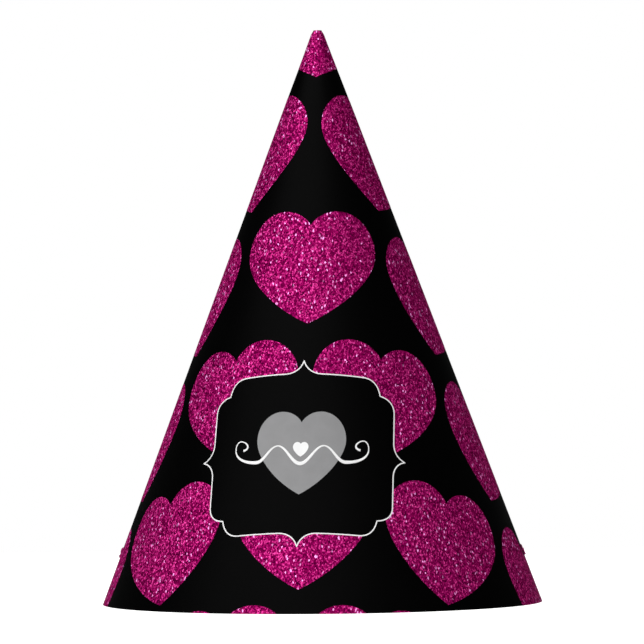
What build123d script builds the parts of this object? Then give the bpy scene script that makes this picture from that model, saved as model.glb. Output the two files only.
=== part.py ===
from build123d import *
from math import atan, cos, degrees, radians, sin, tan
import os

# A paperboard party hat: one flat sheet rolled into a cone, stuck along a lap seam at the back,
# with an elastic chin cord knotted outside two punched holes.
# Millimetres, +Z up. The origin is the centre of the rim, on the surface that the hat stands on.
# The front faces -Y and the seam runs up the back, along +Y.

os.makedirs("parts", exist_ok=True)

# The cone
RIM_DIAMETER = 130.0        # outer diameter at the rim
TIP_DIAMETER = 3.0          # outer diameter of the small open tip
HEIGHT = 170.0              # from the rim to the tip
BOARD = 0.4                 # thickness of the paperboard

# The lap seam
TAPE_THICKNESS = 0.15
TAPE_WIDTH = 6.0
TAPE_MARGIN = 2.0           # from the outer layer's free edge to the tape, and from the tape to the tab's edge
TAB_BOTTOM = 2.0            # height of the tab's lower end above the rim
TAB_TIP_GAP = 34.0          # from the tab's upper end up to the tip
TAB_BEVEL = 8.0             # height of the tab's slanting ends
TAPE_END_GAP = 3.0          # from the tab's straight edge's ends to the tape's ends
STEP_SWEEP = 9.0            # degrees over which the sheet steps inward to pass under the lap
STEP_MARGIN = 2.0           # degrees of stepped-in sheet that show beside the free edge
STEP_SPANS = 3              # flat spans that make up the step

# The chin cord, its holes and its knots
CORD_DIAMETER = 1.0
HOLE_CLEARANCE = 0.5        # all round the cord in its hole
HOLE_HEIGHT = 15.0          # height of the holes' centres above the rim
HOLE_AZIMUTH = 97.0         # degrees from the front to each hole, round the cone
KNOT_SEAT_GAP = 0.02        # between a knot's flat side and the sheet
CORD_EXIT = 5.2             # straight length from the sheet's outer face to the first bend

# The cord's route from the right hole to the left one, without its two ends in the holes:
# it drops down the wall, lies in a loose S on the floor of the cone and climbs the other wall.
CORD_ROUTE = [
    (51.2, 3.8, 7.2),
    (47.6, -1.2, 1.7),
    (41.5, -9.2, 0.6),
    (33.0, -24.0, 0.6),
    (14.0, -36.0, 0.6),
    (-10.0, -34.5, 0.6),
    (-25.5, -18.0, 0.6),
    (-18.5, 2.5, 0.6),
    (2.0, 9.5, 0.6),
    (17.5, 21.0, 0.6),
    (14.0, 40.0, 0.6),
    (-6.0, 47.5, 0.6),
    (-27.0, 40.5, 0.6),
    (-40.0, 24.0, 0.6),
    (-47.4, 13.4, 1.8),
    (-51.3, 8.8, 7.3),
]
FILLET_SHARE = 0.45         # share of the shorter run that each bend takes

# Sizes that follow
HALF_ANGLE = atan((RIM_DIAMETER - TIP_DIAMETER) / 2 / HEIGHT)
LAYER_STEP = BOARD + TAPE_THICKNESS
TAB_WIDTH = TAPE_MARGIN + TAPE_WIDTH + TAPE_MARGIN
TAB_TOP = HEIGHT - TAB_TIP_GAP
SEAM_ANGLE = 90.0           # polar angle of the outer layer's free edge, seen from above
STEP_END = SEAM_ANGLE + 360.0 - STEP_MARGIN
STEP_START = STEP_END - STEP_SWEEP
KNOT_LOBE_RADIUS = 1.1 * CORD_DIAMETER  # an overhand knot grows with its cord
KNOT_LOBE_OFFSET = 0.8 * CORD_DIAMETER  # from the hole's axis to each lobe's centre, along the slope
KNOT_LOBE_RISE = 0.45 * CORD_DIAMETER   # height of the lobes' centres above the sheet
QUARTER_TURN = 90.0
OVERRUN = 5.0               # how far cutting shapes reach past what they cut


def outer_radius(height, depth=0.0):
    """Radius at a height of the surface that lies a depth below the sheet's outer face."""
    return RIM_DIAMETER / 2 - height * tan(HALF_ANGLE) - depth / cos(HALF_ANGLE)


def wall_section(angle, depth, thickness):
    """Face in the vertical half-plane at a polar angle: a layer that starts at a depth."""
    corners = [
        (outer_radius(0, depth), 0),
        (outer_radius(HEIGHT, depth), HEIGHT),
        (outer_radius(HEIGHT, depth + thickness), HEIGHT),
        (outer_radius(0, depth + thickness), 0),
    ]
    section = make_face(Polyline(*corners, close=True).edges())
    return Rot(0, 0, angle) * (Plane.XZ * section)


def conical_layer(start, sweep, depth, thickness):
    """Part of a conical shell between two polar angles."""
    return revolve(wall_section(start, depth, thickness), Axis.Z, sweep)


def stepped_wall():
    """The stretch where the sheet eases inward, by one board and one tape, before the lap."""
    sections = []
    for i in range(STEP_SPANS + 1):
        share = i / STEP_SPANS
        depth = LAYER_STEP * share * share * (3 - 2 * share)
        sections.append(wall_section(STEP_START + STEP_SWEEP * share, depth, BOARD))
    return loft(sections, ruled=True)


def seam_prism(outline):
    """Prism through the back wall whose outline is given in X and Z."""
    face = make_face(Polyline(*outline, close=True).edges())
    return extrude(Plane.XZ * face, amount=-(RIM_DIAMETER / 2 + OVERRUN))


def lapped_end():
    """The stepped-in end of the sheet: a sliver beside the free edge, and the tab under the lap."""
    layer = conical_layer(STEP_END, STEP_MARGIN + QUARTER_TURN, LAYER_STEP, BOARD)
    outline = [
        (OVERRUN, -OVERRUN),
        (OVERRUN, HEIGHT + OVERRUN),
        (0, HEIGHT + OVERRUN),
        (0, TAB_TOP),
        (-TAB_WIDTH, TAB_TOP - TAB_BEVEL),
        (-TAB_WIDTH, TAB_BOTTOM + TAB_BEVEL),
        (0, TAB_BOTTOM),
        (0, -OVERRUN),
    ]
    return layer & seam_prism(outline)


def seam_tape():
    """Double-sided tape between the two layers of the lap."""
    layer = conical_layer(SEAM_ANGLE, QUARTER_TURN, BOARD, TAPE_THICKNESS)
    near = -TAPE_MARGIN
    far = near - TAPE_WIDTH
    low = TAB_BOTTOM + TAB_BEVEL + TAPE_END_GAP
    high = TAB_TOP - TAB_BEVEL - TAPE_END_GAP
    return layer & seam_prism([(near, low), (near, high), (far, high), (far, low)])


def hole_plane(side):
    """Plane on the sheet's outer face at a hole: z outward, y up the slope. side is 1 or -1."""
    azimuth = radians(HOLE_AZIMUTH)
    across = Vector(side * sin(azimuth), -cos(azimuth), 0)
    origin = across * outer_radius(HOLE_HEIGHT) + Vector(0, 0, HOLE_HEIGHT)
    outward = across * cos(HALF_ANGLE) + Vector(0, 0, sin(HALF_ANGLE))
    level = Vector(0, 0, 1).cross(across)
    return Plane(origin=origin, x_dir=level, z_dir=outward)


def hole_cutter(side):
    """Cylinder that punches a cord hole."""
    return hole_plane(side) * Cylinder(CORD_DIAMETER / 2 + HOLE_CLEARANCE, 2 * OVERRUN)


def cone_sheet():
    """The printed sheet: once round, a step inward, and the tab under the lap."""
    sheet = conical_layer(SEAM_ANGLE, STEP_START - SEAM_ANGLE, 0, BOARD)
    sheet = sheet + stepped_wall() + lapped_end()
    return sheet - hole_cutter(1) - hole_cutter(-1)


def knot(side):
    """Overhand knot: two lobes up the slope, flat where it seats on the sheet over its hole."""
    lobes = Pos(0, KNOT_LOBE_OFFSET, KNOT_LOBE_RISE) * Sphere(KNOT_LOBE_RADIUS)
    lobes += Pos(0, -KNOT_LOBE_OFFSET, KNOT_LOBE_RISE) * Sphere(KNOT_LOBE_RADIUS)
    above_sheet = Pos(0, 0, KNOT_SEAT_GAP + OVERRUN) * Box(2 * OVERRUN, 2 * OVERRUN, 2 * OVERRUN)
    return hole_plane(side) * (lobes & above_sheet)


def cord_points():
    """The whole route: from one knot's flat side, through the holes, to the other's."""
    ends = []
    for side in (1, -1):
        plane = hole_plane(side)
        seat = plane.origin + plane.z_dir * KNOT_SEAT_GAP
        ends.append((seat, plane.origin - plane.z_dir * CORD_EXIT))
    (right_seat, right_bend), (left_seat, left_bend) = ends
    route = [Vector(*point) for point in CORD_ROUTE]
    return [right_seat, right_bend, *route, left_bend, left_seat]


def bend_radii(points):
    """Radius of each bend: its share of the shorter run, over the tangent of half the turn."""
    radii = []
    for before, here, after in zip(points, points[1:], points[2:]):
        shorter = min((here - before).length, (after - here).length)
        turn = radians((here - before).get_angle(after - here))
        radii.append(FILLET_SHARE * shorter / tan(turn / 2))
    return radii


def elastic_cord():
    """The cord as straight runs joined by tangent arcs; prints its radii, length and volume."""
    points = cord_points()
    radii = bend_radii(points)
    path = FilletPolyline(*points, radius=radii)
    start = Plane(origin=path @ 0, z_dir=path % 0)
    tube = sweep(start * Circle(CORD_DIAMETER / 2), path=path)
    expected = Circle(CORD_DIAMETER / 2).area * path.length
    print("cord bend radii:", [round(radius, 1) for radius in radii])
    print(f"cord length {path.length:.1f}, volume {tube.volume:.2f}, section x length {expected:.2f}")
    return tube


pieces = {
    "printed_cone": cone_sheet(),
    "seam_tape": seam_tape(),
    "elastic_cord": elastic_cord(),
    "right_knot": knot(1),
    "left_knot": knot(-1),
}

print(f"half angle {degrees(HALF_ANGLE):.2f} degrees, tip diameter {2 * outer_radius(HEIGHT):.2f}")
for name, shape in pieces.items():
    export_step(shape, f"parts/{name}.step")
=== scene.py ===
import logging
import math
from dataclasses import dataclass
from enum import Enum
from typing import Iterator, Sequence

import bmesh
import bpy
from bmesh.types import BMesh, BMFace, BMLoop, BMVert
from mathutils import Matrix, Vector


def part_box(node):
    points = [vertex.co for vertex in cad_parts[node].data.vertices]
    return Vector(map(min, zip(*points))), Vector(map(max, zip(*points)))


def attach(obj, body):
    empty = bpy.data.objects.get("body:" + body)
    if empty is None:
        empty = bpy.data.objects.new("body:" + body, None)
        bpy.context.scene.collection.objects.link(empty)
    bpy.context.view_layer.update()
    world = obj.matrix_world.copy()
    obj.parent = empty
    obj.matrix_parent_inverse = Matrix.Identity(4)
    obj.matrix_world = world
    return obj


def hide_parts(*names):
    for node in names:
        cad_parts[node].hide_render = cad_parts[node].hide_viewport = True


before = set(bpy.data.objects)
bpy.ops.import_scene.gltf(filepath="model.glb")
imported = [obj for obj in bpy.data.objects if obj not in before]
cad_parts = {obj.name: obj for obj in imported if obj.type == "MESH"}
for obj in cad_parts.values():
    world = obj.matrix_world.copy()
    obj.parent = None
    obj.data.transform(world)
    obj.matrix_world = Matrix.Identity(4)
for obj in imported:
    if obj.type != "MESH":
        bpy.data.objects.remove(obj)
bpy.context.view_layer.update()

MM = 0.001
TOUCHING = 1e-7
UP = Vector((0.0, 0.0, 1.0))
LOG = logging.getLogger("party_hat")

Point = tuple[float, float]
Span = tuple[float, float]
Triple = tuple[float, float, float]
Colour = Triple
Socket = bpy.types.NodeSocket
Finish = bpy.types.Material
Piece = bpy.types.Object
Setting = Socket | float | str | Triple


# --- Node trees ---


class Recipe:
    """A material under construction: its node tree, with short calls to add and join nodes."""

    def __init__(self, name: str) -> None:
        """Starts an empty material.

        Args:
            name: The material's name.
        """
        self.material = bpy.data.materials.new(name)
        self.material.use_nodes = True
        self.tree = self.material.node_tree
        self.tree.nodes.clear()
        self.shader = self.node("ShaderNodeBsdfPrincipled")
        output = self.node("ShaderNodeOutputMaterial")
        self.join(self.shader.outputs["BSDF"], output.inputs["Surface"])

    def join(self, source: Socket, target: Socket) -> None:
        """Links an output to an input."""
        self.tree.links.new(source, target)

    def fill(self, node: bpy.types.Node, name: str, value: Setting) -> None:
        """Links or sets one input of a node.

        Args:
            node: The node.
            name: The input's name, with underscores for spaces.
            value: An output to link, or a constant; a colour has three numbers.
        """
        socket = node.inputs[name.replace("_", " ")]
        if isinstance(value, Socket):
            self.join(value, socket)
        else:
            socket.default_value = (*value, 1.0) if socket.type == "RGBA" else value

    def node(self, kind: str, **settings: Setting) -> bpy.types.Node:
        """Adds a node.

        Args:
            kind: The node's type name.
            settings: Its properties, in small letters, and then its inputs, as fill takes them.

        Returns:
            The new node.
        """
        made = self.tree.nodes.new(kind)
        for key, value in settings.items():
            if key.islower():
                setattr(made, key, value)
            else:
                self.fill(made, key, value)
        return made

    def surface(self, **values: Setting) -> None:
        """Links or sets the shader's own inputs, and sets what is the same all over as a constant."""
        for key, value in values.items():
            self.fill(self.shader, key, value)

    def place(self, scale: Triple = (1.0, 1.0, 1.0), layer: str = "") -> Socket:
        """Object coordinates or one of the piece's UV maps, scaled.

        Args:
            scale: A scale for each axis.
            layer: The UV map's name, or nothing for Object coordinates.

        Returns:
            The mapped vector.
        """
        if layer:
            source = self.node("ShaderNodeUVMap", uv_map=layer).outputs["UV"]
        else:
            source = self.node("ShaderNodeTexCoord").outputs["Object"]
        return self.node("ShaderNodeMapping", Vector=source, Scale=scale).outputs["Vector"]

    def noise(self, place: Socket, scale: float, detail: float = 3.0) -> Socket:
        """Fractal noise from 0 to 1, at a frequency and with a number of octaves."""
        return self.node("ShaderNodeTexNoise", Vector=place, Scale=scale, Detail=detail).outputs["Fac"]

    def ramp(self, source: Socket, *stops: tuple[float, Colour]) -> Socket:
        """A colour ramp.

        Args:
            source: The number that picks the colour.
            stops: Positions from 0 to 1, each with its colour.

        Returns:
            The colour.
        """
        ramp = self.node("ShaderNodeValToRGB", Fac=source)
        elements = ramp.color_ramp.elements
        elements[0].position, elements[1].position = stops[0][0], stops[-1][0]
        elements[0].color, elements[1].color = (*stops[0][1], 1.0), (*stops[-1][1], 1.0)
        for position, colour in stops[1:-1]:
            elements.new(position).color = (*colour, 1.0)
        return ramp.outputs["Color"]

    def blend(self, share: float, first: Socket, second: Socket) -> Socket:
        """Mixes two numbers, with the second one's share from 0 to 1."""
        return self.node("ShaderNodeMix", Factor=share, A=first, B=second).outputs["Result"]

    def spread(self, source: Socket, low: float, high: float) -> Socket:
        """Maps 0..1 to low..high."""
        mapped = self.node("ShaderNodeMapRange", Value=source, To_Min=low, To_Max=high)
        return mapped.outputs["Result"]

    def bump(self, height: Socket, strength: float, distance: float) -> Socket:
        """Normals raised by a height from 0 to 1, whose bumps have a strength and a size in metres."""
        raised = self.node("ShaderNodeBump", Strength=strength, Distance=distance, Height=height)
        return raised.outputs["Normal"]


# --- Finishes ---


@dataclass(frozen=True)
class BlackGround:
    """Solid black print on coated board, with a soft sheen and the board's faint unevenness."""

    deep: Colour = (0.00008, 0.00008, 0.00010)
    worn: Colour = (0.00022, 0.00021, 0.00024)
    cloud_scale: float = 90.0
    grain_scale: float = 1400.0

    def make(self) -> Finish:
        """Builds the material.

        Returns:
            The material.
        """
        recipe = Recipe("black_ground")
        place = recipe.place()
        mottle = recipe.noise(place, self.cloud_scale, 4.0)
        grain = recipe.noise(place, self.grain_scale, 2.0)
        recipe.surface(
            Base_Color=recipe.ramp(mottle, (0.35, self.deep), (0.7, self.worn)),
            Roughness=recipe.spread(grain, 0.42, 0.52),
            Specular_IOR_Level=0.021,
            Normal=recipe.bump(grain, 0.12, 0.03 * MM),
        )
        return recipe.material


@dataclass(frozen=True)
class GlitterInk:
    """Printed glitter: flakes of many pinks, each with its own tone and lean, and a few bright glints
    painted into the base colour as painted highlights.
    """

    flake_scale: Triple = (3.1, 1.95, 1.0)
    grain_scale: Triple = (6.2, 4.2, 1.0)
    painted_glint_scale: Triple = (2.7, 1.7, 1.0)
    grain_share: float = 0.36
    painted_glint_range: Span = (0.969, 0.989)
    lean: float = 0.14
    roughness: Span = (0.48, 0.62)
    metal: float = 0.35
    edge: Colour = (0.50, 0.0, 0.20)
    tones: tuple[tuple[float, Colour], ...] = (
        (0.08, (0.022, 0.0001, 0.013)),
        (0.25, (0.080, 0.0001, 0.026)),
        (0.37, (0.130, 0.0002, 0.042)),
        (0.50, (0.200, 0.0004, 0.065)),
        (0.63, (0.290, 0.0028, 0.096)),
        (0.76, (0.430, 0.0110, 0.155)),
        (0.89, (0.960, 0.0750, 0.420)),
    )
    # Painted highlight: the pale colour that the glint spots get in the base colour.
    painted_glint: Colour = (1.0, 0.37, 0.85)

    def make(self) -> Finish:
        """Builds the material.

        Returns:
            The material.
        """
        recipe = Recipe("glitter_ink")
        flakes, coarse = self._cells(recipe, self.flake_scale)
        _, fine = self._cells(recipe, self.grain_scale)
        # Painted highlights: a third pattern of cells picks a few spots whose pale pink colour stands in
        # for glints of light.
        _, painted_glint_cells = self._cells(recipe, self.painted_glint_scale)
        chance = recipe.blend(self.grain_share, coarse.outputs["Red"], fine.outputs["Red"])
        low, high = self.painted_glint_range
        painted_glint_mask = recipe.node(
            "ShaderNodeMapRange", Value=painted_glint_cells.outputs["Green"], From_Min=low, From_Max=high
        )
        mixed = recipe.node(
            "ShaderNodeMix",
            data_type="RGBA",
            Factor=painted_glint_mask.outputs["Result"],
            A=recipe.ramp(chance, *self.tones),
            B=self.painted_glint,
        )
        leaning = recipe.node("ShaderNodeNormalMap", uv_map="print", Strength=self.lean, Color=flakes)
        recipe.surface(
            Base_Color=mixed.outputs["Result"],
            Metallic=self.metal,
            Roughness=recipe.spread(coarse.outputs["Blue"], *self.roughness),
            Specular_IOR_Level=0.01,
            Specular_Tint=self.edge,
            Normal=leaning.outputs["Normal"],
        )
        return recipe.material

    @staticmethod
    def _cells(recipe: Recipe, scale: Triple) -> tuple[Socket, bpy.types.Node]:
        """A pattern of cells, each with three random numbers, in the print's own millimetres.

        Args:
            recipe: The material it belongs to.
            scale: Cells per millimetre across and down.

        Returns:
            The numbers as one colour, and the node that gives them as Red, Green and Blue.
        """
        place = recipe.place(scale, "print")
        texture = recipe.node("ShaderNodeTexVoronoi", voronoi_dimensions="2D", Scale=1.0, Vector=place)
        colour = texture.outputs["Color"]
        return colour, recipe.node("ShaderNodeSeparateColor", Color=colour)


@dataclass(frozen=True)
class PlainInk:
    """One even printed ink, very slightly mottled."""

    name: str
    colour: Colour
    mottle_scale: float = 260.0
    grain_scale: float = 1400.0

    def make(self) -> Finish:
        """Builds the material.

        Returns:
            The material.
        """
        recipe = Recipe(self.name)
        place = recipe.place()
        darker = tuple(0.93 * part for part in self.colour)
        mottle = recipe.noise(place, self.mottle_scale)
        recipe.surface(
            Base_Color=recipe.ramp(mottle, (0.3, darker), (0.65, self.colour)),
            Roughness=0.5,
            Specular_IOR_Level=0.25,
            Normal=recipe.bump(recipe.noise(place, self.grain_scale, 2.0), 0.1, 0.03 * MM),
        )
        return recipe.material


@dataclass(frozen=True)
class BoardFace:
    """Uncoated white board: short fibres and a slight cloudiness."""

    bright: Colour = (0.83, 0.82, 0.79)
    shaded: Colour = (0.74, 0.725, 0.69)
    cloud_scale: float = 120.0
    fibre_scale: float = 2600.0
    fibre_stretch: Triple = (1.0, 1.0, 0.25)

    def make(self) -> Finish:
        """Builds the material.

        Returns:
            The material.
        """
        recipe = Recipe("board_face")
        cloud = recipe.noise(recipe.place(), self.cloud_scale, 4.0)
        fibres = recipe.noise(recipe.place(self.fibre_stretch), self.fibre_scale, 4.0)
        mixed = recipe.blend(0.5, cloud, fibres)
        recipe.surface(
            Base_Color=recipe.ramp(mixed, (0.38, self.shaded), (0.6, self.bright)),
            Roughness=0.82,
            Specular_IOR_Level=0.3,
            Normal=recipe.bump(fibres, 0.25, 0.04 * MM),
        )
        return recipe.material


@dataclass(frozen=True)
class CutEdge:
    """The die-cut edge of the board: rough grey-white layers."""

    grey: Colour = (0.50, 0.48, 0.45)
    pale: Colour = (0.76, 0.745, 0.71)
    layer_scale: float = 3500.0

    def make(self) -> Finish:
        """Builds the material.

        Returns:
            The material.
        """
        recipe = Recipe("cut_edge")
        layers = recipe.noise(recipe.place(), self.layer_scale)
        recipe.surface(
            Base_Color=recipe.ramp(layers, (0.3, self.grey), (0.7, self.pale)),
            Roughness=0.9,
            Specular_IOR_Level=0.2,
            Normal=recipe.bump(layers, 0.4, 0.05 * MM),
        )
        return recipe.material


@dataclass(frozen=True)
class ElasticBraid:
    """Braided covering of a thin elastic: two crossing sets of ribs with a soft thread lustre, and painted
    shade darkening the grooves between them.
    """

    name: str
    length: float
    rib: float = 0.62 * MM
    strands: int = 4
    thread: Colour = (0.300, 0.0050, 0.110)
    painted_groove_shade: Colour = (0.060, 0.0010, 0.026)

    def make(self) -> Finish:
        """Builds the material.

        Returns:
            The material.
        """
        recipe = Recipe(self.name)
        crossing = recipe.node("ShaderNodeMath", operation="MAXIMUM")
        for hand, socket in zip((1.0, -1.0), crossing.inputs):
            recipe.join(self._helix(recipe, hand), socket)
        height = crossing.outputs["Value"]
        recipe.surface(
            # Painted shade: the colour darkens towards the bottom of the grooves between the ribs.
            Base_Color=recipe.ramp(height, (0.2, self.painted_groove_shade), (0.8, self.thread)),
            Roughness=recipe.spread(height, 0.8, 0.55),
            Specular_IOR_Level=0.18,
            Normal=recipe.bump(height, 0.7, 0.08 * MM),
        )
        return recipe.material

    def _helix(self, recipe: Recipe, hand: float) -> Socket:
        """Ribs that wind round the thread one way.

        Args:
            recipe: The material they belong to.
            hand: 1 or -1, the way they wind.

        Returns:
            The ribs' height from 0 to 1.
        """
        period = 2.0 * math.pi / 10.0
        scale = (self.length / self.rib * period, hand * self.strands * period, 0.0)
        wave = recipe.node("ShaderNodeTexWave", wave_type="BANDS", bands_direction="DIAGONAL", Scale=1.0)
        recipe.fill(wave, "Vector", recipe.place(scale, "UVMap"))
        return wave.outputs["Fac"]


@dataclass(frozen=True)
class TapeFilm:
    """Cream double-sided tape, cloudy with adhesive."""

    thick: Colour = (0.66, 0.60, 0.45)
    thin: Colour = (0.82, 0.78, 0.66)
    cloud_scale: float = 700.0

    def make(self) -> Finish:
        """Builds the material.

        Returns:
            The material.
        """
        recipe = Recipe("tape_film")
        cloud = recipe.noise(recipe.place(), self.cloud_scale, 4.0)
        recipe.surface(
            Base_Color=recipe.ramp(cloud, (0.3, self.thick), (0.7, self.thin)),
            Roughness=recipe.spread(cloud, 0.25, 0.45),
        )
        return recipe.material


@dataclass(frozen=True)
class LightTable:
    """Pale matt table top with a painted glow seen only by camera rays, so evenly white that it shows next
    to no shadow; the glow lights nothing.
    """

    glow: float = 0.68
    cool: Colour = (0.60, 0.60, 0.605)
    plain: Colour = (0.62, 0.62, 0.62)
    cloud_scale: float = 3.0

    def make(self) -> Finish:
        """Builds the material.

        Returns:
            The material.
        """
        recipe = Recipe("light_table")
        cloud = recipe.noise(recipe.place(), self.cloud_scale)
        path = recipe.node("ShaderNodeLightPath")
        recipe.surface(
            Base_Color=recipe.ramp(cloud, (0.2, self.cool), (0.8, self.plain)),
            Roughness=0.9,
            Specular_IOR_Level=0.0,
            Emission_Color=(1.0, 1.0, 1.0),
            # Painted glow: camera rays see extra white emission that covers the floor's shadows.
            Emission_Strength=recipe.spread(path.outputs["Is Camera Ray"], 0.0, self.glow),
        )
        return recipe.material


# --- The cone's form ---


class Side(Enum):
    """The two cord holes, as the sign of their X."""

    RIGHT = 1
    LEFT = -1


class Ink(Enum):
    """Printed layers, as their height above the board's outer face."""

    HEARTS = 0.030 * MM
    PANEL = 0.060 * MM
    MOTIF = 0.085 * MM
    LINES = 0.075 * MM
    FLOURISH = 0.100 * MM


@dataclass(frozen=True)
class ConeForm:
    """How the flat sheet lies once it is rolled.

    The flat sheet lies in the XY plane with the cone's apex at the origin and the front's middle
    line along -Y. A flat point's slant is its distance from the apex, its turn is the angle round
    the cone from the outer layer's free edge at the back, and its Z is its height above the
    board's outer face.
    """

    rim_radius: float
    height: float
    tip_radius: float = 1.5 * MM
    board: float = 0.4 * MM
    tape: float = 0.15 * MM
    step_end: float = math.radians(358.0)
    step_sweep: float = math.radians(9.0)
    column: float = math.radians(1.0)
    waver: tuple[tuple[int, float, float], ...] = ((3, 0.0010, 0.4), (5, 0.0008, 2.1), (9, 0.0004, 1.0))
    bulge: float = 0.03 * MM
    taper: float = 0.20 * MM
    taper_start: float = 0.85
    curl_height: float = 1.6 * MM
    curl_depth: float = 0.35 * MM
    hole_height: float = 15.0 * MM
    hole_azimuth: float = math.radians(97.0)
    hole_radius: float = 1.0 * MM

    @property
    def half_angle(self) -> float:
        """Angle between the axis and the sheet."""
        return math.atan((self.rim_radius - self.tip_radius) / self.height)

    @property
    def apex_height(self) -> float:
        """Height at which the sheet would come to a point."""
        return self.rim_radius / math.tan(self.half_angle)

    @property
    def ratio(self) -> float:
        """Flat angle at the apex for each unit of turn."""
        return math.sin(self.half_angle)

    def slant_at(self, height: float) -> float:
        """Distance from the apex to a height above the rim, along the sheet."""
        return (self.apex_height - height) / math.cos(self.half_angle)

    def generator(self, turn: float) -> Vector:
        """Flat direction from the apex along the sheet at a turn."""
        angle = (turn - math.pi) * self.ratio
        return Vector((math.sin(angle), -math.cos(angle), 0.0))

    def turn_of(self, point: Vector) -> float:
        """Turn of a flat point."""
        return math.atan2(point.x, -point.y) / self.ratio + math.pi

    def depth(self, turn: float) -> float:
        """How far the sheet has stepped inward at a turn, on its way under the lap."""
        share = min(max((turn - self.step_end + self.step_sweep) / self.step_sweep, 0.0), 1.0)
        return (self.board + self.tape) * share * share * (3.0 - 2.0 * share)

    def rolled(self, point: Vector) -> Vector:
        """Place of a flat point on the rolled sheet.

        Args:
            point: The flat point, with its height above the outer face as Z.

        Returns:
            The point in the hat's frame.
        """
        turn = self.turn_of(point)
        slant = math.hypot(point.x, point.y)
        lift = point.z - self.depth(turn)
        waver = sum(size * math.sin(count * turn + start) for count, size, start in self.waver)
        swell = 1.0 + waver * (1.0 - math.cos(turn)) / 2.0
        radius = slant * self.ratio * swell + lift * math.cos(self.half_angle)
        height = self.apex_height - slant * math.cos(self.half_angle) + lift * self.ratio
        azimuth = turn - math.pi
        return Vector((radius * math.sin(azimuth), -radius * math.cos(azimuth), height))

    def swelling(self, height: float) -> float:
        """How far the rolled sheet stands out from a straight-sided cone at a height."""
        near_tip = min(max(height / self.height - self.taper_start, 0.0) / (1.0 - self.taper_start), 1.0)
        return self.bulge * math.sin(math.pi * height / self.height) - self.taper * near_tip * near_tip

    def hole_flat(self, side: Side) -> Vector:
        """Flat place of a cord hole's centre."""
        turn = math.pi + side.value * self.hole_azimuth
        return self.generator(turn) * self.slant_at(self.hole_height)

    def hole_frame(self, side: Side) -> Matrix:
        """Frame at a cord hole, on the sheet's outer face.

        Args:
            side: Which hole.

        Returns:
            The frame, with X level, Y up the slope and Z outward.
        """
        azimuth = self.hole_azimuth
        across = Vector((side.value * math.sin(azimuth), -math.cos(azimuth), 0.0))
        radius = self.rim_radius - self.hole_height * math.tan(self.half_angle)
        outward = across * math.cos(self.half_angle) + UP * math.sin(self.half_angle)
        level = UP.cross(across)
        matrix = Matrix((level, outward.cross(level), outward)).transposed().to_4x4()
        matrix.translation = across * radius + UP * self.hole_height
        return matrix


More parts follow.
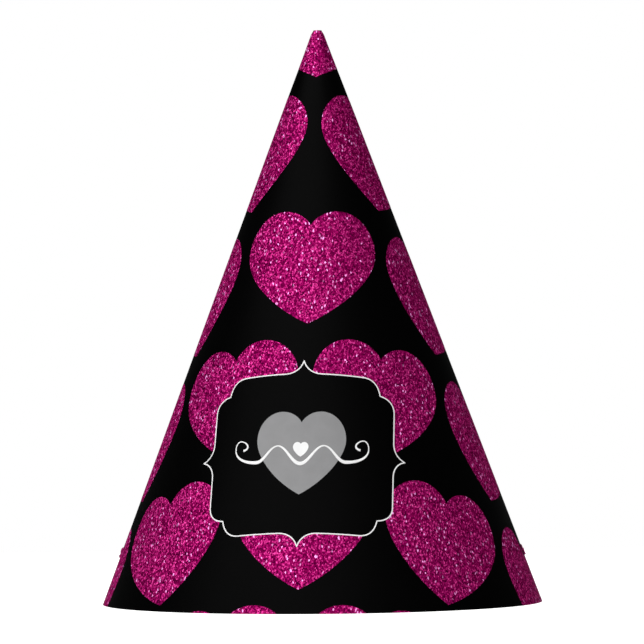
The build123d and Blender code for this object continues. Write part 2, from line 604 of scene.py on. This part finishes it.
@dataclass(frozen=True)
class FlatWork:
    """Work on flat shapes before and while they are rolled round the cone."""

    form: ConeForm
    bow_rings: int = 20
    curl_rings: int = 6

    def lay_out(self, bm: BMesh, place: Vector, art_turn: float) -> None:
        """Puts a flat print in its place and notes where it lies in the print's own frame.

        Args:
            bm: The flat shape.
            place: Its place in the print's frame, with its height above the sheet as Z.
            art_turn: How far the whole print is turned round the cone.
        """
        bmesh.ops.translate(bm, vec=place, verts=bm.verts)
        layer = bm.loops.layers.uv.new("print")
        for loop in all_loops(bm):
            loop[layer].uv = (loop.vert.co.x / MM, loop.vert.co.y / MM)
        turned = Matrix.Rotation(-art_turn * self.form.ratio, 3, "Z")
        bmesh.ops.rotate(bm, cent=Vector(), matrix=turned, verts=bm.verts)

    def fold_lines(self, bm: BMesh) -> None:
        """Cuts a flat shape along the cone's straight generators, so that it rolls without a crease.

        Args:
            bm: The flat shape.
        """
        turns = [self.form.turn_of(vert.co) for vert in bm.verts]
        first = math.ceil(min(turns) / self.form.column)
        last = math.floor(max(turns) / self.form.column)
        for step in range(first, last + 1):
            self.cut_at(bm, step * self.form.column)

    def cut_at(self, bm: BMesh, turn: float, clear: int = 0) -> None:
        """Cuts a flat shape along a generator, and clears larger turns with 1 or smaller ones with -1."""
        normal = square_to(self.form.generator(turn))
        self._cut(bm, Vector(), -normal if clear < 0 else normal, clear=clear != 0)

    def roll(self, bm: BMesh, bow_cuts: bool = True) -> None:
        """Rolls a flat shape round the cone, then gives it the sheet's slight bow and closed-in tip.

        Args:
            bm: The flat shape, which becomes the rolled one.
            bow_cuts: True to add the level cuts that let it bow, False if it has its own.
        """
        for vert in bm.verts:
            vert.co = self.form.rolled(vert.co)
        low = min(vert.co.z for vert in bm.verts)
        high = max(vert.co.z for vert in bm.verts)
        for ring in range(1, self.bow_rings):
            level = self.form.height * ring / self.bow_rings
            if bow_cuts and low < level < high:
                self._cut(bm, UP * level, UP)
        for vert in bm.verts:
            self._draw_in(vert, -self.form.swelling(vert.co.z))
        if high > self.form.height - self.form.curl_height:
            self._curl(bm, self.form.height - self.form.curl_height)

    @staticmethod
    def _draw_in(vert: BMVert, distance: float) -> None:
        """Moves a point level towards the axis.

        Args:
            vert: The point.
            distance: How far.
        """
        radius = math.hypot(vert.co.x, vert.co.y)
        keep = max(radius - distance, 0.1 * MM) / max(radius, 0.1 * MM)
        vert.co.x *= keep
        vert.co.y *= keep

    def trim_ends(self, bm: BMesh) -> None:
        """Removes what a rolled print would have beyond the rim or the tip."""
        self._cut(bm, Vector(), -UP, clear=True)
        self._cut(bm, UP * self.form.height, UP, clear=True)

    def _curl(self, bm: BMesh, start: float) -> None:
        """Draws the last stretch of the tip inward on a round curve.

        Args:
            bm: The rolled shape.
            start: Height at which the curve begins.
        """
        for ring in range(self.curl_rings):
            self._cut(bm, UP * (start + self.form.curl_height * ring / self.curl_rings), UP)
        for vert in bm.verts:
            share = max(vert.co.z - start, 0.0) / self.form.curl_height
            self._draw_in(vert, self.form.curl_depth * share * share)

    def _cut(self, bm: BMesh, place: Vector, normal: Vector, clear: bool = False) -> None:
        """Cuts the whole shape with a plane.

        Args:
            bm: The shape.
            place: A point on the plane.
            normal: The plane's normal.
            clear: True to remove the side that the normal points to.
        """
        bmesh.ops.bisect_plane(
            bm,
            geom=[*bm.verts, *bm.edges, *bm.faces],
            dist=TOUCHING,
            plane_co=place,
            plane_no=normal,
            clear_outer=clear,
        )


def square_to(direction: Vector) -> Vector:
    """A flat direction a quarter turn on from another, in the way that turns grow."""
    return Vector((-direction.y, direction.x, 0.0))


def all_loops(bm: BMesh) -> Iterator[BMLoop]:
    """Every face's corners, in order."""
    return (loop for face in bm.faces for loop in face.loops)


def face_up(bm: BMesh) -> None:
    """Turns a flat shape's faces upward.

    Args:
        bm: The flat shape.
    """
    bmesh.ops.recalc_face_normals(bm, faces=bm.faces)
    if sum(face.normal.z for face in bm.faces) < 0.0:
        bmesh.ops.reverse_faces(bm, faces=bm.faces)


def shade_smooth(bm: BMesh) -> None:
    """Shades every face smoothly."""
    for face in bm.faces:
        face.smooth = True


def write_bake_map(bm: BMesh) -> None:
    """Copies the print's map, fitted into the unit square, for baking.

    Args:
        bm: The shape, which has a map named print.
    """
    target = bm.loops.layers.uv.new("OFBake")
    source = bm.loops.layers.uv["print"]
    places = [loop[source].uv.copy() for loop in all_loops(bm)]
    low = Vector((min(place.x for place in places), min(place.y for place in places)))
    high = Vector((max(place.x for place in places), max(place.y for place in places)))
    margin = 0.015
    scale = (1.0 - 2.0 * margin) / max(high.x - low.x, high.y - low.y)
    for loop in all_loops(bm):
        loop[target].uv = (loop[source].uv - low) * scale + Vector((margin, margin))


def place(name: str, data: bpy.types.ID) -> Piece:
    """Puts a mesh, curve, light or camera in the scene.

    Args:
        name: The new object's name.
        data: What the object shows.

    Returns:
        The new object.
    """
    placed = bpy.data.objects.new(name, data)
    bpy.context.scene.collection.objects.link(placed)
    return placed


def place_mesh(name: str, bm: BMesh, *finishes: Finish) -> Piece:
    """Puts a finished bmesh in the scene as an object at the origin.

    Args:
        name: The object's name.
        bm: Its mesh, which is freed.
        finishes: Its materials, in slot order.

    Returns:
        The new object.
    """
    mesh = bpy.data.meshes.new(name)
    bm.to_mesh(mesh)
    bm.free()
    for finish in finishes:
        mesh.materials.append(finish)
    return place(name, mesh)


def board_piece(name: str, bm: BMesh, *finishes: Finish) -> Piece:
    """Makes a piece of the paperboard or its print, which rides on the hat.

    Args:
        name: The piece's name.
        bm: Its finished mesh, which is freed.
        finishes: Its materials, in slot order.

    Returns:
        The new piece.
    """
    piece = place_mesh(name, bm, *finishes)
    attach(piece, "root")
    return piece


# --- Outlines drawn with handles ---


@dataclass(frozen=True)
class Mark:
    """A point of a drawn line in millimetres, with its two handles and its share of the line's width."""

    at: Point
    before: Point
    after: Point
    width: float = 1.0

    def moved(self, across: float, up: float, rise: float = 0.0) -> "Mark":
        """The mark with its X and Y scaled, and then raised."""
        at, before, after = [(across * x, up * y + rise) for x, y in (self.at, self.before, self.after)]
        return Mark(at, before, after, self.width)


def run_back(marks: Sequence[Mark], across: float, up: float) -> list[Mark]:
    """The marks mirrored by factors of 1 or -1 and in reverse, with their handles swapped."""
    moved = [mark.moved(across, up) for mark in reversed(marks)]
    return [Mark(mark.at, mark.after, mark.before, mark.width) for mark in moved]


def draw(name: str, marks: Sequence[Mark], closed: bool, thickness: float = 0.0) -> BMesh:
    """Draws an outline and returns its mesh in metres, flat on the XY plane.

    Args:
        name: A name for the curve while it exists.
        marks: The outline's marks, in order.
        closed: True if the last mark runs on to the first.
        thickness: The line's width in millimetres, or 0 for a bare loop of edges.

    Returns:
        The flat line or loop.
    """
    curve = bpy.data.curves.new(name, "CURVE")
    curve.dimensions = "3D"
    curve.resolution_u = 14
    curve.bevel_depth = thickness / 2.0
    curve.bevel_resolution = 2
    curve.use_fill_caps = not closed
    spline = curve.splines.new("BEZIER")
    spline.bezier_points.add(len(marks) - 1)
    spline.use_cyclic_u = closed
    for target, mark in zip(spline.bezier_points, marks):
        target.handle_left_type = target.handle_right_type = "FREE"
        target.co = (*mark.at, 0.0)
        target.handle_left = (*mark.before, 0.0)
        target.handle_right = (*mark.after, 0.0)
        target.radius = mark.width
    holder = bpy.data.objects.new(name, curve)
    mesh = bpy.data.meshes.new_from_object(holder)
    bm = bmesh.new()
    bm.from_mesh(mesh)
    bmesh.ops.scale(bm, vec=(MM, MM, MM), verts=bm.verts)
    bpy.data.meshes.remove(mesh)
    bpy.data.objects.remove(holder)
    bpy.data.curves.remove(curve)
    return bm


def filled(name: str, marks: Sequence[Mark]) -> BMesh:
    """A flat face inside an outline, facing up.

    Args:
        name: A name for the curve while it exists.
        marks: The closed outline's marks, in order.

    Returns:
        The flat face in metres.
    """
    bm = draw(name, marks, closed=True)
    bmesh.ops.remove_doubles(bm, verts=bm.verts, dist=TOUCHING)
    bmesh.ops.edgeloop_fill(bm, edges=bm.edges)
    face_up(bm)
    return bm


def heart_outline(width: float, height: float) -> list[Mark]:
    """A heart with its point at the origin and its lobes up.

    Args:
        width: Its full width in millimetres.
        height: From its point to the top of its lobes, in millimetres.

    Returns:
        The closed outline's marks.
    """
    drawn_width, drawn_height = 40.0, 35.9
    across, up = width / drawn_width, height / drawn_height
    right = [
        Mark((0.0, 0.0), (-10.5, 5.2), (10.5, 5.2)),
        Mark((20.0, 24.0), (20.0, 16.5), (20.0, 30.9)),
        Mark((8.8, 35.9), (14.9, 35.9), (4.6, 35.9)),
        Mark((0.0, 31.0), (1.2, 33.4), (-1.2, 33.4)),
    ]
    left = run_back(right[1:3], -1.0, 1.0)
    return [mark.moved(across, up) for mark in right + left]


# --- Sub-assemblies ---


@dataclass
class Sheet:
    """The rolled paperboard sheet with its lap, tab and punched holes."""

    form: ConeForm
    rows: int = 60
    tab_turn: float = math.radians(100.0)
    tab_width: float = 10.0 * MM
    tab_bottom: float = 2.0 * MM
    tab_top: float = 136.0 * MM
    tab_bevel: float = 8.0 * MM
    hole_segments: int = 32
    patch_half_width: float = 2.1 * MM
    patch_half_height: float = 3.2 * MM
    patch_reach: float = 7.0 * MM

    def build(self) -> Piece:
        """Builds the sheet and puts it in the CAD cone's place.

        Returns:
            The piece.
        """
        bm = self._flat_sheet()
        self._cut_tab(bm)
        for side in Side:
            self._punch(bm, side)
        self._thicken(bm)
        FlatWork(self.form).roll(bm, bow_cuts=False)
        for vert in bm.verts:
            vert.co.z = min(max(vert.co.z, 0.0), self.form.height)
        outside, inside, edge = BlackGround().make(), BoardFace().make(), CutEdge().make()
        piece = board_piece("paperboard_cone", bm, outside, inside, edge)
        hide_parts("printed_cone")
        return piece

    def _flat_sheet(self) -> BMesh:
        """Sweeps one generator round the apex into a flat sector, and on past the lap.

        Returns:
            The flat sheet.
        """
        form = self.form
        bm = bmesh.new()
        along = form.generator(0.0)
        radii = (form.tip_radius, form.rim_radius)
        edge = bm.edges.new([bm.verts.new(along * (radius / form.ratio)) for radius in radii])
        bmesh.ops.subdivide_edges(bm, edges=[edge], cuts=self.rows - 1)
        columns = round((2.0 * math.pi + self.tab_turn) / form.column)
        angle = columns * form.column * form.ratio
        line = [*bm.verts, *bm.edges]
        bmesh.ops.spin(bm, geom=line, cent=Vector(), axis=UP, angle=angle, steps=columns, use_merge=False)
        face_up(bm)
        return bm

    def _cut_tab(self, bm: BMesh) -> None:
        """Cuts the sheet beyond the seam line down to a tab with slanting ends.

        Args:
            bm: The flat sheet.
        """
        form = self.form
        down = form.generator(2.0 * math.pi)
        out = square_to(down)
        top, bottom = form.slant_at(self.tab_top), form.slant_at(self.tab_bottom)
        bevel = self.tab_bevel / math.cos(form.half_angle)
        slopes = [
            (out * self.tab_width, out),
            (down * top, (out * bevel - down * self.tab_width).normalized()),
            (down * bottom, (out * bevel + down * self.tab_width).normalized()),
        ]
        for place, normal in slopes:
            faces = self._past_seam(bm)
            edges = dict.fromkeys(edge for face in faces for edge in face.edges)
            verts = dict.fromkeys(vert for face in faces for vert in face.verts)
            geometry = [*verts, *edges, *faces]
            bmesh.ops.bisect_plane(bm, geom=geometry, dist=TOUCHING, plane_co=place, plane_no=normal)
            faces = self._past_seam(bm)
            waste = [face for face in faces if (face.calc_center_median() - place).dot(normal) > 0.0]
            bmesh.ops.delete(bm, geom=waste, context="FACES")

    def _past_seam(self, bm: BMesh) -> list[BMFace]:
        """The flat sheet's faces beyond the seam line."""
        line = 2.0 * math.pi + self.form.column / 4.0
        return [face for face in bm.faces if self.form.turn_of(face.calc_center_median()) > line]

    def _punch(self, bm: BMesh, side: Side) -> None:
        """Punches a round cord hole through the flat sheet.

        Args:
            bm: The flat sheet.
            side: Which hole.
        """
        centre = self.form.hole_flat(side)
        down = centre.normalized()
        across = square_to(down)
        window = []
        for face in bm.faces:
            offset = face.calc_center_median() - centre
            beside, below = abs(offset.dot(across)), abs(offset.dot(down))
            if beside < self.patch_half_width and below < self.patch_half_height:
                window.append(face)
        bmesh.ops.delete(bm, geom=window, context="FACES")
        frame_edges = [
            edge
            for edge in bm.edges
            if edge.is_boundary and all((vert.co - centre).length < self.patch_reach for vert in edge.verts)
        ]
        at_centre = Matrix.Translation(centre)
        circle = bmesh.ops.create_circle(
            bm, segments=self.hole_segments, radius=self.form.hole_radius, matrix=at_centre
        )
        ring = dict.fromkeys(edge for vert in circle["verts"] for edge in vert.link_edges)
        filled_ring = bmesh.ops.bridge_loops(bm, edges=[*frame_edges, *ring])
        for face in filled_ring["faces"]:
            face.normal_update()
            if face.normal.z < 0.0:
                face.normal_flip()

    def _thicken(self, bm: BMesh) -> None:
        """Gives the flat sheet its thickness below the outer face, and names its surfaces.

        Args:
            bm: The flat sheet.
        """
        bmesh.ops.solidify(bm, geom=bm.faces[:], thickness=self.form.board)
        top = max(vert.co.z for vert in bm.verts)
        for vert in bm.verts:
            vert.co.z -= top
        bmesh.ops.recalc_face_normals(bm, faces=bm.faces)
        shade_smooth(bm)
        for face in bm.faces:
            face.material_index = 0 if face.normal.z > 0.5 else 1 if face.normal.z < -0.5 else 2
        for edge in bm.edges:
            if len({face.material_index for face in edge.link_faces}) > 1:
                edge.smooth = False


@dataclass
class HeartPrint:
    """The all-over print: a staggered grid of glitter hearts."""

    form: ConeForm
    art_turn: float
    pitch_across: float = 43.9
    pitch_down: float = 39.95
    first_row: float = 18.85
    tip_drop: float = 1.0
    shift: float = 0.20
    width: float = 39.8
    height: float = 35.85
    rows: int = 6
    reach: int = 5
    edge_margin: float = math.radians(0.15)
    least_area: float = 2.0 * MM * MM

    def build(self) -> list[Piece]:
        """Prints every heart that touches the sheet.

        Returns:
            The hearts, from the tip down.
        """
        ink = GlitterInk().make()
        pieces = []
        for row, across, down in self._lattice():
            bm = self._heart(across, down)
            if bm is not None:
                name = f"heart_row{row + 1}_{len(pieces) + 1:02d}"
                pieces.append(board_piece(name, bm, ink))
        return pieces

    def _lattice(self) -> Iterator[tuple[int, float, float]]:
        """Goes through the grid row by row.

        Yields:
            Each heart's row, and the X and Y of its point in the print's own frame.
        """
        for row in range(self.rows):
            stagger = 0.5 * (row % 2)
            for column in range(-self.reach, self.reach + 1):
                across = self.shift + (column + stagger) * self.pitch_across
                down = self.first_row + row * self.pitch_down + (self.tip_drop if row == 0 else 0.0)
                yield row, across * MM, -down * MM

    def _heart(self, across: float, down: float) -> BMesh | None:
        """One heart, rolled onto the sheet and trimmed at its edges.

        Args:
            across: X of its point in the print's frame.
            down: Y of its point in the print's frame.

        Returns:
            The heart, or None where it misses the sheet.
        """
        bm = filled("heart", heart_outline(self.width, self.height))
        work = FlatWork(self.form)
        work.lay_out(bm, Vector((across, down, Ink.HEARTS.value)), self.art_turn)
        work.cut_at(bm, self.edge_margin, clear=-1)
        if bm.faces:
            work.cut_at(bm, 2.0 * math.pi, clear=1)
        if bm.faces:
            work.fold_lines(bm)
            work.roll(bm)
            work.trim_ends(bm)
        if sum(face.calc_area() for face in bm.faces) < self.least_area:
            bm.free()
            return None
        shade_smooth(bm)
        write_bake_map(bm)
        return bm


@dataclass
class Label:
    """The bracket-shaped label: a black panel, its fine white line and a plain ornament."""

    form: ConeForm
    art_turn: float
    centre: Point = (0.3, -138.1)
    line_width: float = 0.37
    scroll_width: float = 0.5
    flatness: float = 0.06
    motif_width: float = 25.6
    motif_height: float = 25.0
    motif_point: float = -12.5
    accent: float = 4.4
    accent_point: float = -1.2
    quarter: tuple[Mark, ...] = (
        Mark((0.0, 28.0), (-0.5, 25.9), (0.5, 25.9)),
        Mark((5.4, 23.95), (2.3, 23.95), (8.0, 23.95)),
        Mark((17.3, 23.95), (14.0, 23.95), (20.3, 23.95)),
        Mark((22.4, 19.0), (21.9, 21.9), (24.9, 18.7)),
        Mark((26.9, 14.3), (26.9, 17.3), (26.9, 12.0)),
        Mark((26.9, 5.2), (26.9, 7.5), (26.9, 2.3)),
        Mark((30.6, 0.0), (28.6, 0.5), (28.6, -0.5)),
    )
    scroll: tuple[Mark, ...] = (
        Mark((0.0, -3.3), (-2.4, -3.3), (2.4, -3.3), 2.3),
        Mark((6.6, 2.2), (4.2, 2.2), (9.0, 2.2), 0.8),
        Mark((12.7, -2.4), (10.4, -2.4), (15.6, -2.4), 2.1),
        Mark((19.4, 1.9), (19.2, -1.0), (19.5, 4.2), 0.7),
        Mark((16.7, 4.1), (18.2, 5.1), (15.2, 3.1), 0.7),
        Mark((17.0, 1.6), (15.4, 1.8), (17.8, 1.5), 1.4),
    )

    def build(self) -> list[Piece]:
        """Prints the label's layers, lowest first.

        Returns:
            The pieces.
        """
        outline = self._outline()
        panel = filled("panel", outline)
        motif = self._heart(self.motif_width, self.motif_height, self.motif_point)
        line = draw("line", outline, closed=True, thickness=self.line_width)
        both_ways = run_back(self.scroll[1:], -1.0, 1.0) + list(self.scroll)
        scroll = draw("scroll", both_ways, closed=False, thickness=self.scroll_width)
        accent = self._heart(self.accent, self.accent, self.accent_point)
        black = BlackGround().make()
        grey = PlainInk("grey_ink", (0.20, 0.20, 0.203)).make()
        white = PlainInk("white_ink", (0.70, 0.70, 0.70)).make()
        return [
            self._print("label_panel", panel, Ink.PANEL, black),
            self._print("label_heart", motif, Ink.MOTIF, grey),
            self._print("label_line", line, Ink.LINES, white),
            self._print("label_scroll", scroll, Ink.FLOURISH, white),
            self._print("label_accent", accent, Ink.FLOURISH, white),
        ]

    @staticmethod
    def _heart(width: float, height: float, point: float) -> BMesh:
        """A flat heart whose point lies some millimetres above the label's middle."""
        return filled("heart", [mark.moved(1.0, 1.0, point) for mark in heart_outline(width, height)])

    def _outline(self) -> list[Mark]:
        """The whole bracket outline, clockwise from the top spike."""
        half = [*self.quarter, *run_back(self.quarter[:-1], 1.0, -1.0)]
        return half + run_back(half[1:-1], -1.0, 1.0)

    def _print(self, name: str, bm: BMesh, layer: Ink, ink: Finish) -> Piece:
        """Rolls one flat layer onto the sheet.

        Args:
            name: The piece's name.
            bm: The flat shape, centred on the label.
            layer: The printed layer it belongs to.
            ink: Its finish.

        Returns:
            The piece.
        """
        bmesh.ops.scale(bm, vec=(1.0, 1.0, self.flatness), verts=bm.verts)
        across, down = self.centre
        work = FlatWork(self.form)
        work.lay_out(bm, Vector((across * MM, down * MM, layer.value)), self.art_turn)
        work.fold_lines(bm)
        work.roll(bm)
        shade_smooth(bm)
        return board_piece(name, bm, ink)


@dataclass
class ChinCord:
    """The elastic chin cord: it runs from hole to hole and lies loose on the floor of the cone."""

    form: ConeForm
    diameter: float = 1.0 * MM
    seat: float = 0.02 * MM
    exit_length: float = 5.2 * MM
    route: tuple[Triple, ...] = (
        (0.0512, 0.0038, 0.0072),
        (0.0476, -0.0012, 0.0017),
        (0.0415, -0.0092, 0.0006),
        (0.0330, -0.0240, 0.0006),
        (0.0140, -0.0360, 0.0006),
        (-0.0100, -0.0345, 0.0006),
        (-0.0255, -0.0180, 0.0006),
        (-0.0185, 0.0025, 0.0006),
        (0.0020, 0.0095, 0.0006),
        (0.0175, 0.0210, 0.0006),
        (0.0140, 0.0400, 0.0006),
        (-0.0060, 0.0475, 0.0006),
        (-0.0270, 0.0405, 0.0006),
        (-0.0400, 0.0240, 0.0006),
        (-0.0474, 0.0134, 0.0018),
        (-0.0513, 0.0088, 0.0073),
    )
    length: float = 0.2855
    knot_length: float = 22.0 * MM
    knot_thread: float = 0.80 * MM
    knot_spread: float = 0.46 * MM
    knot_rise: float = 0.46 * MM
    knot_sag: float = 0.5 * MM

    def build(self) -> list[Piece]:
        """Returns:
            The cord and the knots.
        """
        braid = ElasticBraid("cord_braid", self.length).make()
        cord = self._tube("chin_cord", self._points(), self.diameter, braid)
        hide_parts("elastic_cord")
        knots = []
        knot_braid = ElasticBraid("knot_braid", self.knot_length).make()
        for side in Side:
            name = f"{side.name.lower()}_cord_knot"
            knot = self._tube(name, self._knot_points(side), self.knot_thread, knot_braid)
            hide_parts(f"{side.name.lower()}_knot")
            knots.append(knot)
        tuple(self._points()[0])
        return [cord, *knots]

    def _points(self) -> list[Vector]:
        """Joins the resting route to both holes.

        Returns:
            The whole route, from the right knot's seat to the left one's.
        """
        ends = []
        for side in Side:
            matrix = self.form.hole_frame(side)
            outward = matrix.to_3x3() @ UP
            seat, bend = outward * self.seat, outward * self.exit_length
            ends.append((matrix.translation + seat, matrix.translation - bend))
        (right_seat, right_bend), (left_seat, left_bend) = ends
        return [right_seat, right_bend, *map(Vector, self.route), left_bend, left_seat]

    def _knot_points(self, side: Side) -> list[Vector]:
        """An overhand knot: three crossing lobes, one end down the hole and one end cut short.

        Args:
            side: Which hole it sits over.

        Returns:
            The knot's points in the hat's frame.
        """
        steps = 26
        first, sweep = 0.55, 2.0 * math.pi - 0.75
        matrix = self.form.hole_frame(side)
        points = [Vector((0.0, 0.4 * MM, -0.5 * MM)), Vector((0.15 * MM, 0.6 * MM, 0.35 * MM))]
        for step in range(steps + 1):
            turn = first + sweep * step / steps
            across = 0.80 * (math.sin(turn) + 2.0 * math.sin(2.0 * turn)) * self.knot_spread
            along = -1.05 * (math.cos(turn) - 2.0 * math.cos(2.0 * turn)) * self.knot_spread
            rise = (1.0 - 0.9 * math.sin(3.0 * turn)) * self.knot_rise * 0.5
            points.append(Vector((across, along, self.knot_thread / 2.0 + rise)))
        points.append(Vector((-0.9 * MM, -1.6 * MM, 0.8 * MM)))
        return [matrix @ (point - Vector((0.0, self.knot_sag, 0.0))) for point in points]

    @staticmethod
    def _tube(name: str, points: Sequence[Vector], thickness: float, finish: Finish) -> Piece:
        """A round thread along a smooth spline.

        Args:
            name: The piece's name.
            points: The spline's control points.
            thickness: The thread's diameter.
            finish: Its material.

        Returns:
            The curve object.
        """
        curve = bpy.data.curves.new(name, "CURVE")
        curve.dimensions = "3D"
        curve.resolution_u = 10
        curve.bevel_depth = thickness / 2.0
        curve.bevel_resolution = 4
        curve.use_fill_caps = True
        spline = curve.splines.new("NURBS")
        spline.points.add(len(points) - 1)
        for target, point in zip(spline.points, points):
            target.co = (*point, 1.0)
        spline.order_u = 3
        spline.use_endpoint_u = True
        curve.materials.append(finish)
        piece = place(name, curve)
        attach(piece, "root")
        return piece


@dataclass
class SeamTape:
    """The double-sided tape inside the lap, which keeps its CAD shape."""

    node: str = "seam_tape"

    def dress(self) -> Piece:
        """Gives the tape its finish.

        Returns:
            The CAD node's object.
        """
        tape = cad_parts[self.node]
        tape.data.materials.clear()
        tape.data.materials.append(TapeFilm().make())
        return tape


@dataclass
class Studio:
    """Pale floor, soft lights and the camera."""

    distance: float = 1.0
    eye_height: float = 0.0514
    look_up: float = math.radians(1.815)
    look_right: float = math.radians(0.034)
    lean: float = math.radians(0.50)
    lens: float = 188.1
    key_azimuth: float = math.radians(-30.5)
    key_elevation: float = math.radians(36.0)
    key_strength: float = 3.08
    key_width: float = math.radians(80.0)
    top_azimuth: float = math.radians(-30.0)
    top_elevation: float = math.radians(88.0)
    top_strength: float = 2.0
    top_width: float = math.radians(70.0)
    ambient: float = 0.06
    backdrop: float = 1.0
    table_half_width: float = 0.42

    def build(self) -> None:
        """Builds the floor, the lights, the surroundings and the camera."""
        self._floor()
        self._sun("key", self.key_azimuth, self.key_elevation, self.key_strength, self.key_width)
        self._sun("top", self.top_azimuth, self.top_elevation, self.top_strength, self.top_width)
        self._surroundings()
        self._camera()
        bpy.context.scene.view_settings.view_transform = "Standard"

    def _floor(self) -> None:
        """A flat table top at the height that the hat stands on."""
        bm = bmesh.new()
        bmesh.ops.create_grid(bm, x_segments=8, y_segments=8, size=self.table_half_width)
        floor = place_mesh("floor", bm, LightTable().make())

    @staticmethod
    def _sun(name: str, azimuth: float, elevation: float, strength: float, width: float) -> None:
        """A broad, distant light.

        Args:
            name: The light's name.
            azimuth: Angle from the front to the light, positive to the right.
            elevation: Angle above the horizon.
            strength: Its irradiance.
            width: The angle that it fills.
        """
        light = bpy.data.lights.new(name, "SUN")
        light.energy = strength
        light.angle = width
        lamp = place(name, light)
        level = math.cos(elevation)
        towards = Vector((math.sin(azimuth) * level, -math.cos(azimuth) * level, math.sin(elevation)))
        lamp.rotation_euler = towards.to_track_quat("Z", "Y").to_euler()

    def _surroundings(self) -> None:
        """Even pale surroundings that light the hat only a little."""
        world = bpy.data.worlds.new("surroundings")
        world.use_nodes = True
        tree = world.node_tree
        tree.nodes.clear()
        path = tree.nodes.new("ShaderNodeLightPath")
        mix = tree.nodes.new("ShaderNodeMixShader")
        output = tree.nodes.new("ShaderNodeOutputWorld")
        for slot, strength in enumerate((self.ambient, self.backdrop), start=1):
            glow = tree.nodes.new("ShaderNodeBackground")
            glow.inputs["Color"].default_value = (1.0, 1.0, 1.0, 1.0)
            glow.inputs["Strength"].default_value = strength
            tree.links.new(glow.outputs["Background"], mix.inputs[slot])
        tree.links.new(path.outputs["Is Camera Ray"], mix.inputs["Fac"])
        tree.links.new(mix.outputs["Shader"], output.inputs["Surface"])
        bpy.context.scene.world = world

    def _camera(self) -> None:
        """The camera, which looks along +Y and very slightly up."""
        data = bpy.data.cameras.new("camera")
        data.sensor_width = 36.0
        data.lens = self.lens
        camera = place("camera", data)
        level = Matrix.Rotation(math.pi / 2.0 + self.look_up, 4, "X")
        aim = Matrix.Rotation(-self.look_right, 4, "Z") @ level @ Matrix.Rotation(-self.lean, 4, "Z")
        camera.matrix_world = Matrix.Translation((0.0, -self.distance, self.eye_height)) @ aim
        bpy.context.scene.camera = camera


def main() -> None:
    """Builds the hat and its studio in order."""
    logging.basicConfig(level=logging.INFO, format="%(name)s: %(message)s")
    low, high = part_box("printed_cone")
    form = ConeForm(rim_radius=(high[0] - low[0]) / 2.0, height=high[2])
    print_turn = math.radians(6.35)
    label_turn = math.radians(7.3)
    LOG.info("half angle %.2f degrees", math.degrees(form.half_angle))

    sheet = Sheet(form).build()
    LOG.info("sheet: %d faces", len(sheet.data.polygons))
    hearts = HeartPrint(form, print_turn).build()
    LOG.info("hearts: %d pieces, %d faces", len(hearts), sum(len(heart.data.polygons) for heart in hearts))
    for piece in Label(form, label_turn).build():
        LOG.info("%s: %d faces", piece.name, len(piece.data.polygons))
    for piece in ChinCord(form).build():
        LOG.info("%s: %d points", piece.name, len(piece.data.splines[0].points))
    LOG.info("tape: %s", SeamTape().dress().name)
    Studio().build()


if __name__ == "__main__":
    main()
